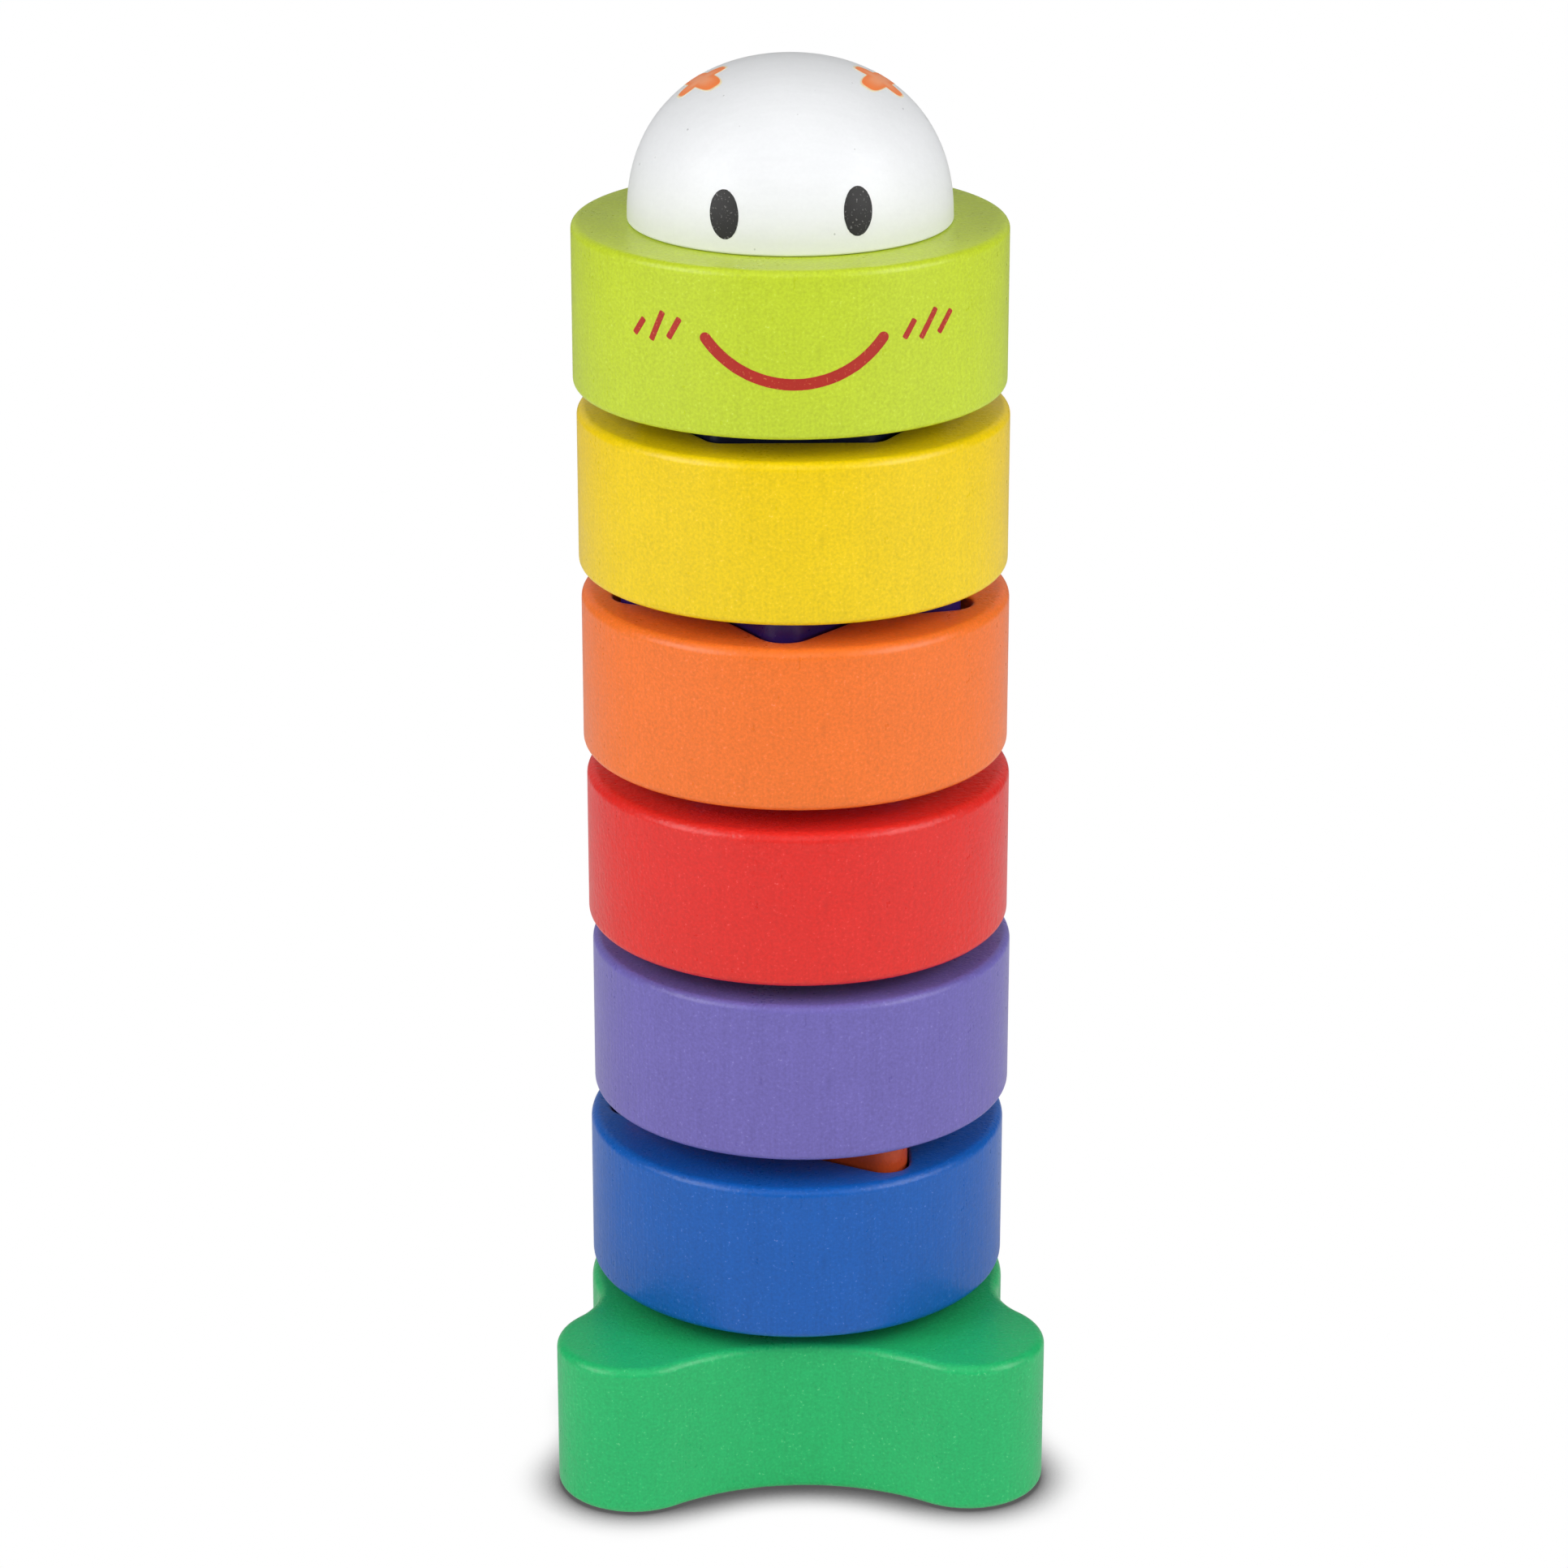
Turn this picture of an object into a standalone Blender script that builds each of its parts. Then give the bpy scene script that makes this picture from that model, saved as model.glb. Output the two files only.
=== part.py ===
"""Wooden stacking figure: a footed base, five round blocks and a head.

Each round block has a pocket in its top and a key under its bottom, and every
key has its own outline, so the blocks stack in one order. A key bottoms out in
the pocket below it, which leaves a narrow gap between the blocks.

Units are metres, +Z is up. The origin is on the floor, on the axis of the
tower, and the face looks along -Y.
"""

import math

import bmesh
import bpy
from mathutils import Matrix, Vector

MM = 0.001

# Driving dimensions
BLOCK_RADIUS = 30.0 * MM
GLUE_GAP = 0.3 * MM

# Footed base: a round body, two feet in front, hollow arcs between them
BASE_HEIGHT = 22.9 * MM
BASE_EDGE = 1.3 * MM
BASE_RADIUS = 30.2 * MM
FOOT_RADIUS = 10.95 * MM
FOOT_SIDE = 24.0 * MM
FOOT_FRONT = 23.2 * MM
FRONT_HOLLOW = 26.8 * MM
SIDE_HOLLOW_RADIUS = 10.75 * MM

# Keys and pockets
POCKET_DEPTH = 8.0 * MM
POCKET_CLEARANCE = 0.8 * MM
KEY_EDGE = 0.7 * MM
OVAL_KEY_HALF_WIDTH = 22.0 * MM
OVAL_KEY_HALF_DEPTH = 15.0 * MM
TRIANGLE_KEY_RADIUS = 29.0 * MM
TRIANGLE_KEY_TURN = 30.5
TRIANGLE_KEY_CORNER = 3.5 * MM
CROSS_KEY_REACH = 19.0 * MM
CROSS_KEY_ARM = 6.5 * MM
CROSS_KEY_CORNER = 1.6 * MM
SQUARE_KEY_HALF = 15.0 * MM
SQUARE_KEY_TURN = 45.0
SQUARE_KEY_CORNER = 3.0 * MM
STAR_KEY_RADIUS = 27.2 * MM
STAR_KEY_TIPS = 5
STAR_KEY_WAIST = 0.62
STAR_KEY_TURN = -5.0
STAR_KEY_CORNER = 3.6 * MM
HEXAGON_KEY_RADIUS = 21.6 * MM
HEXAGON_KEY_TURN = 30.0
HEXAGON_KEY_CORNER = 2.5 * MM

# Blocks from the bottom up: colour, key shape and colour, the gap under the
# block, how far it sits off the axis within its key's play, its height, the
# rounding of its edges, and the shape of the pocket in its top.
BLOCKS = [
    ("blue", "oval", "amber", 2.6 * MM, 0.0 * MM, 23.3 * MM, 1.3 * MM, "triangle"),
    ("purple", "triangle", "vermilion", 4.4 * MM, 0.6 * MM, 23.5 * MM, 1.15 * MM, "cross"),
    ("red", "cross", "green", 2.8 * MM, 0.1 * MM, 22.7 * MM, 1.4 * MM, "square"),
    ("orange", "square", "sky", 3.2 * MM, -0.3 * MM, 23.2 * MM, 1.45 * MM, "star"),
    ("yellow", "star", "violet", 3.4 * MM, -0.6 * MM, 22.8 * MM, 1.2 * MM, "hexagon"),
]
HEAD_GAP = 3.1 * MM
HEAD_OFFSET = -1.05 * MM
RING_HEIGHT = 23.0 * MM
RING_EDGE = 1.05 * MM

# Dowels that hold each key to its block and the dome to its ring
DOWEL_RADIUS = 4.0 * MM
DOWEL_CHAMFER = 0.6 * MM
DOWEL_IN_BLOCK = 8.0 * MM
DOWEL_IN_KEY = 7.0 * MM
DOME_DOWEL_REACH = 9.0 * MM

# Head dome: a turned, slightly squared half ball
DOME_RADIUS = 22.3 * MM
DOME_HEIGHT = 21.9 * MM
DOME_SQUARENESS = 2.2
DOME_EDGE_RADIUS = 0.4 * MM

# Facets
ROUND_STEPS = 60
HOLLOW_STEPS = 8
FOOT_STEPS = 14
SIDE_STEPS = 5
HALF_BODY_STEPS = 16
SHARP_DEGREES = 35.0
DOWEL_STEPS = 16
CORNER_STEPS = 4
EDGE_STEPS = 2
DOME_STEPS = 9
CUT_MARGIN = 2.0 * MM

# Paint: linear colour and roughness
PAINTS = {
    "green": ((0.012, 0.360, 0.105), 0.45),
    "blue": ((0.027, 0.105, 0.402), 0.45),
    "purple": ((0.153, 0.133, 0.413), 0.45),
    "red": ((0.738, 0.030, 0.025), 0.45),
    "orange": ((0.896, 0.178, 0.034), 0.45),
    "yellow": ((0.847, 0.611, 0.011), 0.45),
    "lime": ((0.539, 0.665, 0.036), 0.45),
    "white": ((0.840, 0.856, 0.871), 0.40),
    "navy": ((0.010, 0.016, 0.060), 0.50),
    "violet": ((0.033, 0.010, 0.156), 0.50),
    "vermilion": ((0.680, 0.092, 0.021), 0.50),
    "sky": ((0.040, 0.240, 0.560), 0.50),
    "amber": ((0.800, 0.400, 0.020), 0.50),
    "beech": ((0.620, 0.420, 0.230), 0.60),
}


def polar(radius, degrees):
    """A point at an angle measured from the front (-Y) towards +X."""
    turn = math.radians(degrees)
    return Vector((radius * math.sin(turn), -radius * math.cos(turn)))


def regular_corners(sides, radius, turn):
    """Corners of a regular polygon, counter-clockwise, the first at turn degrees."""
    return [polar(radius, turn + 360.0 * i / sides) for i in range(sides)]


def star_corners(tips, radius, waist, turn):
    """Corners of a star: tips at radius, inner corners at waist times radius."""
    corners = []
    for i in range(tips):
        corners.append(polar(radius, turn + 360.0 * i / tips))
        corners.append(polar(radius * waist, turn + 360.0 * (i + 0.5) / tips))
    return corners


def cross_corners(reach, arm):
    """Corners of an upright cross with arms 2 * arm wide."""
    quarter = [Vector((arm, -reach)), Vector((arm, -arm)), Vector((reach, -arm))]
    corners = []
    for i in range(4):
        spin = Matrix.Rotation(math.radians(90.0 * i), 2)
        corners.extend(spin @ corner for corner in quarter)
    return corners


def grown(corners, amount):
    """The polygon with every side moved outwards by amount."""
    moved = []
    for i, corner in enumerate(corners):
        before = (corner - corners[i - 1]).normalized()
        after = (corners[(i + 1) % len(corners)] - corner).normalized()
        normal_before = Vector((before.y, -before.x))
        normal_after = Vector((after.y, -after.x))
        bisector = (normal_before + normal_after).normalized()
        moved.append(corner + bisector * (amount / bisector.dot(normal_before)))
    return moved


def arc(centre, radius, start, end, steps):
    """Points on an arc between two angles in radians, both ends included."""
    points = []
    for i in range(steps + 1):
        angle = start + (end - start) * i / steps
        points.append(Vector((centre[0] + radius * math.cos(angle),
                              centre[1] + radius * math.sin(angle))))
    return points


def rounded(corners, radius):
    """The polygon with each corner, outer or inner, replaced by an arc."""
    points = []
    for i, corner in enumerate(corners):
        to_before = (corners[i - 1] - corner).normalized()
        to_after = (corners[(i + 1) % len(corners)] - corner).normalized()
        half = to_before.angle(to_after) / 2.0
        middle = (to_before + to_after).normalized()
        centre = corner + middle * (radius / math.sin(half))
        first = corner + to_before * (radius / math.tan(half)) - centre
        last = corner + to_after * (radius / math.tan(half)) - centre
        start = math.atan2(first.y, first.x)
        sweep = math.remainder(math.atan2(last.y, last.x) - start, math.tau)
        points.extend(arc(centre, radius, start, start + sweep, CORNER_STEPS))
    return points


def circle(radius, steps):
    """A full circle, counter-clockwise, without a repeated end."""
    return arc((0.0, 0.0), radius, 0.0, math.tau, steps)[:-1]


def oval(half_width, half_depth):
    """A full ellipse, counter-clockwise."""
    return [Vector((half_width * point.x, half_depth * point.y)) for point in circle(1.0, ROUND_STEPS)]


def touching_centre(centre, radius, blend):
    """Centre of a circle of radius blend that touches the body and the circle given, on its outer side."""
    apart = centre.length
    reach_body = BASE_RADIUS + blend
    reach_other = radius + blend
    along = (reach_body**2 - reach_other**2 + apart**2) / (2.0 * apart)
    across = math.sqrt(reach_body**2 - along**2)
    direction = centre.normalized()
    return direction * along + Vector((-direction.y, direction.x)) * across


def base_outline():
    """Half the base's outline from the front middle to the back middle, then its mirror image."""
    foot = Vector((FOOT_SIDE, -FOOT_FRONT))
    rise = FRONT_HOLLOW - FOOT_FRONT
    hollow_radius = (FOOT_SIDE**2 - FOOT_RADIUS**2 + rise**2) / (2.0 * (FOOT_RADIUS - rise))
    hollow = Vector((0.0, -(FRONT_HOLLOW + hollow_radius)))
    side = touching_centre(foot, FOOT_RADIUS, SIDE_HOLLOW_RADIUS)

    def angle(origin, target):
        return math.atan2(target.y - origin.y, target.x - origin.x)

    body = Vector((0.0, 0.0))
    right = arc(hollow, hollow_radius, math.pi / 2.0, angle(hollow, foot), HOLLOW_STEPS)
    right += arc(foot, FOOT_RADIUS, angle(foot, hollow), angle(foot, side), FOOT_STEPS)[1:]
    right += arc(side, SIDE_HOLLOW_RADIUS, angle(side, foot) % math.tau,
                 angle(side, body) % math.tau, SIDE_STEPS)[1:]
    right += arc(body, BASE_RADIUS, angle(body, side), math.pi / 2.0, HALF_BODY_STEPS)[1:]
    left = [Vector((-point.x, point.y)) for point in reversed(right[1:-1])]
    return right + left


def paint(name):
    """The paint's material, made once."""
    if name in bpy.data.materials:
        return bpy.data.materials[name]
    colour, roughness = PAINTS[name]
    material = bpy.data.materials.new(name)
    material.use_nodes = True
    shader = material.node_tree.nodes["Principled BSDF"]
    shader.inputs["Base Color"].default_value = (*colour, 1.0)
    shader.inputs["Roughness"].default_value = roughness
    shader.inputs["Metallic"].default_value = 0.0
    return material


def prism_mesh(name, outline, low, high, edge, edge_steps=1):
    """An upright prism on the outline, with its two rims chamfered, or rounded in edge_steps."""
    bm = bmesh.new()
    face = bm.faces.new([bm.verts.new((point.x, point.y, low)) for point in outline])
    risen = bmesh.ops.extrude_face_region(bm, geom=[face], use_keep_orig=True)
    top = [item for item in risen["geom"] if isinstance(item, bmesh.types.BMVert)]
    bmesh.ops.translate(bm, verts=top, vec=(0.0, 0.0, high - low))
    bmesh.ops.recalc_face_normals(bm, faces=bm.faces)
    if edge > 0.0:
        rims = [item for item in bm.edges if abs(item.verts[0].co.z - item.verts[1].co.z) < edge]
        bmesh.ops.bevel(bm, geom=rims, offset=edge, offset_type="OFFSET", segments=edge_steps,
                        profile=0.5, affect="EDGES", material=-1)
    mesh = bpy.data.meshes.new(name)
    bm.to_mesh(mesh)
    bm.free()
    return mesh


def add_object(name, mesh, colour, parent):
    """A named piece with its paint, standing on its body's empty."""
    mesh.shade_smooth()
    mesh.set_sharp_from_angle(angle=math.radians(SHARP_DEGREES))
    piece = bpy.data.objects.new(name, mesh)
    bpy.context.scene.collection.objects.link(piece)
    piece.data.materials.append(paint(colour))
    piece.parent = parent
    return piece


def add_body(name, across, height):
    """The empty that a block and everything fixed to it stand on; it slides up along its own Z axis."""
    body = bpy.data.objects.new(name, None)
    body.location = (across, 0.0, height)
    bpy.context.scene.collection.objects.link(body)
    return body


def cut(piece, outline, low, high):
    """Take a prism out of the piece."""
    name = f"{piece.name}_cutter_{len(piece.modifiers)}"
    cutter = bpy.data.objects.new(name, prism_mesh(name, outline, low, high, 0.0))
    cutter.parent = piece
    cutter.hide_render = True
    cutter.display_type = "WIRE"
    bpy.context.scene.collection.objects.link(cutter)
    boolean = piece.modifiers.new("cut", "BOOLEAN")
    boolean.operation = "DIFFERENCE"
    boolean.solver = "EXACT"
    boolean.object = cutter


def cut_dowel_hole(piece, low, high):
    """A round hole with room for glue round the dowel."""
    cut(piece, circle(DOWEL_RADIUS + GLUE_GAP, DOWEL_STEPS), low, high)


def add_dowel(name, low, high, parent):
    """A chamfered beech dowel along the body's axis."""
    mesh = prism_mesh(name, circle(DOWEL_RADIUS, DOWEL_STEPS), low, high, DOWEL_CHAMFER)
    return add_object(name, mesh, "beech", parent)


def key_outlines():
    """Key outline and pocket outline for each key shape, centred on the tower's axis."""
    square_radius = SQUARE_KEY_HALF * math.sqrt(2.0)
    star = star_corners(STAR_KEY_TIPS, STAR_KEY_RADIUS, STAR_KEY_WAIST, STAR_KEY_TURN)
    shapes = {
        "triangle": (regular_corners(3, TRIANGLE_KEY_RADIUS, TRIANGLE_KEY_TURN), TRIANGLE_KEY_CORNER),
        "cross": (cross_corners(CROSS_KEY_REACH, CROSS_KEY_ARM), CROSS_KEY_CORNER),
        "square": (regular_corners(4, square_radius, SQUARE_KEY_TURN), SQUARE_KEY_CORNER),
        "star": (star, STAR_KEY_CORNER),
        "hexagon": (regular_corners(6, HEXAGON_KEY_RADIUS, HEXAGON_KEY_TURN), HEXAGON_KEY_CORNER),
    }
    outlines = {}
    for shape, (corners, radius) in shapes.items():
        outlines[shape] = (rounded(corners, radius), rounded(grown(corners, POCKET_CLEARANCE), radius))
    outlines["oval"] = (
        oval(OVAL_KEY_HALF_WIDTH, OVAL_KEY_HALF_DEPTH),
        oval(OVAL_KEY_HALF_WIDTH + POCKET_CLEARANCE, OVAL_KEY_HALF_DEPTH + POCKET_CLEARANCE),
    )
    return outlines


def add_key(block, shape, colour, gap, outlines, parent):
    """The key under a block: it reaches through the gap and down into the pocket below."""
    drop = gap + POCKET_DEPTH - GLUE_GAP
    name = f"{block}_{shape}_key"
    mesh = prism_mesh(name, outlines[shape][0], -drop, -GLUE_GAP, KEY_EDGE)
    key = add_object(name, mesh, colour, parent)
    cut_dowel_hole(key, -DOWEL_IN_KEY - GLUE_GAP, CUT_MARGIN)
    add_dowel(f"{block}_key_dowel", -DOWEL_IN_KEY, DOWEL_IN_BLOCK, parent)


def add_block(name, colour, block_height, edge, parent):
    """A round block with the hole for its key's dowel."""
    mesh = prism_mesh(name, circle(BLOCK_RADIUS, ROUND_STEPS), 0.0, block_height, edge, EDGE_STEPS)
    block = add_object(name, mesh, colour, parent)
    cut_dowel_hole(block, -CUT_MARGIN, DOWEL_IN_BLOCK + GLUE_GAP)
    return block


def cut_pocket(piece, outline, height):
    """The keyed pocket in the top of a block."""
    cut(piece, outline, height - POCKET_DEPTH, height + CUT_MARGIN)


def dome_profile():
    """Half section of the dome from its edge to its crown, as radius and height."""
    points = [(DOME_RADIUS - DOME_EDGE_RADIUS, 0.0)]
    for i in range(1, EDGE_STEPS):
        angle = math.pi / 2.0 * i / EDGE_STEPS
        points.append((DOME_RADIUS - DOME_EDGE_RADIUS * (1.0 - math.sin(angle)),
                       DOME_EDGE_RADIUS * (1.0 - math.cos(angle))))
    for i in range(DOME_STEPS):
        angle = math.pi / 2.0 * i / DOME_STEPS
        rise = DOME_HEIGHT - DOME_EDGE_RADIUS
        points.append((DOME_RADIUS * math.cos(angle) ** (2.0 / DOME_SQUARENESS),
                       DOME_EDGE_RADIUS + rise * math.sin(angle) ** (2.0 / DOME_SQUARENESS)))
    return points


def dome_mesh(name):
    """The profile spun round the axis, closed by its flat foot and its crown."""
    bm = bmesh.new()
    profile = [bm.verts.new((radius, 0.0, height)) for radius, height in dome_profile()]
    crown = bm.verts.new((0.0, 0.0, DOME_HEIGHT))
    foot = bm.verts.new((0.0, 0.0, 0.0))
    chain = [foot] + profile + [crown]
    edges = [bm.edges.new(pair) for pair in zip(chain, chain[1:])]
    bmesh.ops.spin(bm, geom=chain + edges, cent=(0.0, 0.0, 0.0), axis=(0.0, 0.0, 1.0),
                   angle=math.tau, steps=ROUND_STEPS, use_merge=True)
    bmesh.ops.remove_doubles(bm, verts=bm.verts, dist=0.01 * MM)
    bmesh.ops.recalc_face_normals(bm, faces=bm.faces)
    mesh = bpy.data.meshes.new(name)
    bm.to_mesh(mesh)
    bm.free()
    return mesh


def build_base(outlines):
    """The footed base with the oval pocket."""
    body = add_body("base", 0.0, 0.0)
    mesh = prism_mesh("base_block", base_outline(), 0.0, BASE_HEIGHT, BASE_EDGE, EDGE_STEPS)
    base = add_object("base_block", mesh, "green", body)
    cut_pocket(base, outlines["oval"][1], BASE_HEIGHT)


def build_head(outlines, gap, across, height):
    """The head: a ring with the hexagon key below and the dome glued on top."""
    body = add_body("head", across, height)
    ring = add_block("head_ring", "lime", RING_HEIGHT, RING_EDGE, body)
    cut_dowel_hole(ring, RING_HEIGHT - DOME_DOWEL_REACH - GLUE_GAP, RING_HEIGHT + CUT_MARGIN)
    add_key("head", "hexagon", "navy", gap, outlines, body)
    dome = add_object("head_dome", dome_mesh("head_dome"), "white", body)
    dome.location.z = RING_HEIGHT + GLUE_GAP
    cut_dowel_hole(dome, -CUT_MARGIN, DOME_DOWEL_REACH)
    add_dowel("dome_dowel", RING_HEIGHT - DOME_DOWEL_REACH, RING_HEIGHT + DOME_DOWEL_REACH, body)


def build_figure():
    """Stack the base, the blocks and the head."""
    outlines = key_outlines()
    build_base(outlines)
    height = BASE_HEIGHT
    for colour, shape, key_colour, gap, across, block_height, edge, pocket in BLOCKS:
        height += gap
        body = add_body(f"{colour}_body", across, height)
        block = add_block(f"{colour}_disc", colour, block_height, edge, body)
        cut_pocket(block, outlines[pocket][1], block_height)
        add_key(f"{colour}_disc", shape, key_colour, gap, outlines, body)
        height += block_height
    build_head(outlines, HEAD_GAP, HEAD_OFFSET, height + HEAD_GAP)


for leftover in list(bpy.data.objects):
    bpy.data.objects.remove(leftover, do_unlink=True)
build_figure()
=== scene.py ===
"""Looks of the wooden stacking figure: turned and painted blocks, keys, head and printed face.

Units are metres, +Z is up, and the face looks along -Y. Every piece is built
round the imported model's own nodes, so positions come from their boxes.
"""

import math

import bmesh
import bpy
from mathutils import Matrix, Vector
from mathutils import noise as value_noise


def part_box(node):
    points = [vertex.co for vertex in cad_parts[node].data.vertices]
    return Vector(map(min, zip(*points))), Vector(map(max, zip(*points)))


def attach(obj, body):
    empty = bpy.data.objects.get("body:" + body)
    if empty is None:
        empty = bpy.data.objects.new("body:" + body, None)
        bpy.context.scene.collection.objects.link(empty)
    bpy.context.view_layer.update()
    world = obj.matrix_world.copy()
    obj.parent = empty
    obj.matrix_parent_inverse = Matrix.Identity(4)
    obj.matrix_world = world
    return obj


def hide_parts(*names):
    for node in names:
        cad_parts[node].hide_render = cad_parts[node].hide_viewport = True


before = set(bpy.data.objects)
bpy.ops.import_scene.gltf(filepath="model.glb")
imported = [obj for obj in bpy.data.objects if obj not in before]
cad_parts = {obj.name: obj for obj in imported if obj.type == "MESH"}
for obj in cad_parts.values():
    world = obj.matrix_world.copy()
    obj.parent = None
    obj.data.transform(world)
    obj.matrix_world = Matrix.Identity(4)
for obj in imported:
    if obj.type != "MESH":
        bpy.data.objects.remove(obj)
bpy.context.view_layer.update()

MM = 0.001

# Turned blocks: how far their edges are rounded
EDGES = {
    "base_block": 1.3 * MM,
    "blue_disc": 1.3 * MM,
    "purple_disc": 1.15 * MM,
    "red_disc": 1.4 * MM,
    "orange_disc": 1.45 * MM,
    "yellow_disc": 1.2 * MM,
    "head_ring": 1.05 * MM,
}
EDGE_SEGMENTS = 8
ROUND_STEPS = 180
HOLD = 0.35 * MM  # how far the points that hold a straight or flat stretch stand from its end
MERGE = 0.002 * MM

# Footed base: a round body, two feet in front, hollow arcs between them
BASE_RADIUS = 30.2 * MM
FOOT_RADIUS = 10.95 * MM
FOOT_SIDE = 24.0 * MM
FOOT_FRONT = 23.2 * MM
FRONT_HOLLOW = 26.8 * MM
SIDE_HOLLOW_RADIUS = 10.75 * MM
FRONT_HOLLOW_STEPS = 30
FOOT_STEPS = 56
SIDE_HOLLOW_STEPS = 20
BACK_STEPS = 60

# Keys and the pockets they drop into
POCKET_DEPTH = 8.0 * MM
POCKET_CLEARANCE = 0.8 * MM
POCKET_ROUND = 0.5 * MM
MOUTH_SEGMENTS = 4
KEY_EDGE = 0.7 * MM
KEY_SEGMENTS = 5
CORNER_STEPS = 9
GLUE_GAP = 0.3 * MM  # between a key's node and its block
GLUE_LINE = 0.05 * MM  # what shows of it
OVAL_HALF_WIDTH = 22.0 * MM
OVAL_HALF_DEPTH = 15.0 * MM
TRIANGLE_RADIUS = 29.0 * MM
TRIANGLE_TURN = 30.5
TRIANGLE_CORNER = 3.5 * MM
CROSS_REACH = 19.0 * MM
CROSS_ARM = 6.5 * MM
CROSS_CORNER = 1.6 * MM
SQUARE_HALF = 15.0 * MM
SQUARE_TURN = 45.0
SQUARE_CORNER = 3.0 * MM
STAR_TIPS = 5
STAR_RADIUS = 27.2 * MM
STAR_WAIST = 0.62
STAR_TURN = -5.0
STAR_CORNER = 3.6 * MM
HEXAGON_RADIUS = 21.6 * MM
HEXAGON_TURN = 30.0
HEXAGON_CORNER = 2.5 * MM

# Dowel holes
HOLE_RADIUS = 4.3 * MM
HOLE_STEPS = 48
HOLE_ROUND = 0.3 * MM
HOLE_IN_BLOCK = 8.3 * MM
HOLE_IN_KEY = 7.3 * MM
HOLE_FOR_DOME = 9.3 * MM

# Head dome
DOME_RADIUS = 22.3 * MM
DOME_HEIGHT = 22.15 * MM
DOME_EDGE = 0.4 * MM
DOME_POWER = 2.2
DOME_RINGS = 56
DOME_CREASE = math.radians(50.0)

# Printed face: a raised film, rooted in the paint so that its edge leaves no gap
PRINT_FILM = 0.035 * MM
PRINT_ROOT = 0.12 * MM
PRINT_WOBBLE = 0.035 * MM
PRINT_CREASE = math.radians(40.0)
EYE_POINTS = 64
EYE_RINGS = (0.0, 0.25, 0.5, 0.75, 1.0)
PETAL_POINTS = 128
PETAL_RINGS = (0.0, 0.2, 0.4, 0.6, 0.8, 0.92, 1.0)
SMILE_GRID = (140, 6)
CHEEK_GRID = (24, 4)

EYES = [  # azimuth, height over the ring, lean in degrees
    ("left_eye_print", -24.9, 5.24 * MM, 8.1),
    ("right_eye_print", 23.0, 5.67 * MM, -5.0),
]
EYE_HALF_WIDTH = 2.06 * MM
EYE_HALF_HEIGHT = 3.32 * MM

SMILE_RADIUS = 15.44 * MM
SMILE_HALF_TURN = 51.2
SMILE_HALF_STROKE = 0.78 * MM
SMILE_LOWEST = 7.77 * MM
SMILE_TURN = -0.19

CHEEK_HALF_STROKE = 0.43 * MM
CHEEK_CAP = 0.15 * MM
CHEEK_OVERRUN = 0.2 * MM
CHEEKS = [  # azimuth and height of the lower end, then of the upper end, in degrees and ring radii
    ("left_cheek_outer_print", -44.5, 0.426, -41.7, 0.494),
    ("left_cheek_middle_print", -39.0, 0.413, -35.6, 0.540),
    ("left_cheek_inner_print", -33.6, 0.434, -30.6, 0.521),
    ("right_cheek_inner_print", 29.1, 0.438, 31.8, 0.509),
    ("right_cheek_middle_print", 34.1, 0.427, 38.5, 0.543),
    ("right_cheek_outer_print", 40.0, 0.436, 43.8, 0.520),
]

FLOWERS = [  # azimuth, height over the ring, lean in degrees
    ("left_flower_print", -84.5, 19.35 * MM, 13.0),
    ("right_flower_print", 82.5, 19.35 * MM, -11.0),
]
PETAL_REACH_ACROSS = 6.0 * MM
PETAL_REACH_UP = 4.0 * MM
PETAL_HALF_WIDTH = 1.65 * MM
PETAL_POWER = 3.6

# Ink and wood, linear colours
INK_RED = (0.430, 0.018, 0.009)
INK_BLACK = (0.012, 0.011, 0.011)
INK_ORANGE = (1.000, 0.250, 0.060)
INK_PEACH = (1.000, 0.370, 0.170)
INK_CREAM = (0.900, 0.780, 0.520)
UNDER_BLACK = (0.450, 0.430, 0.420)
UNDER_RED = (0.750, 0.300, 0.100)
BEECH_DARK = (0.600, 0.400, 0.220)
BEECH_PALE = (0.720, 0.520, 0.320)
BEECH_FLECK = (0.360, 0.200, 0.090)
WHITE_PAINT = (0.8450, 0.8560, 0.8700)

# Studio
FLOOR_RADIUS = 4.0
SHADOW_REACH = 9.0 * MM
SHADOW_STEP = (0.97, 0.45)
SHADOW_DEPTH = 0.9
SOFT_BOX_SIZE = (0.40, 0.60)
SOFT_BOX_DISTANCE = 0.9
SOFT_BOX_AIM = 0.1
SOFT_BOXES = [  # azimuth, elevation, watts; each side has its own row of boxes
    ("near", 50.0, 25.0, 1.95),
    ("side", 60.0, 25.0, 1.17),
    ("far", 75.0, 25.0, 1.79),
    ("high", 70.0, 50.0, 0.93),
]
FRONT_BOX = (0.0, 45.0, 0.93)
TOP_BOX = (0.0, 88.0, 0.45)
ROOM_FRONT = 0.125
ROOM_REAR = 0.384
CAMERA_LENS = 107.984
CAMERA_SENSOR = 36.0
CAMERA_PLACE = (-0.01546, -0.62848, 0.33112)
CAMERA_PITCH = 20.300
CAMERA_YAW = -1.236


# ---------------------------------------------------------------- outlines

def polar(radius, degrees):
    """A point at an angle measured from the front (-Y) towards +X."""
    turn = math.radians(degrees)
    return Vector((radius * math.sin(turn), -radius * math.cos(turn)))


def regular_corners(sides, radius, turn):
    """Corners of a regular polygon, counter-clockwise, the first at turn degrees."""
    return [polar(radius, turn + 360.0 * i / sides) for i in range(sides)]


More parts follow.
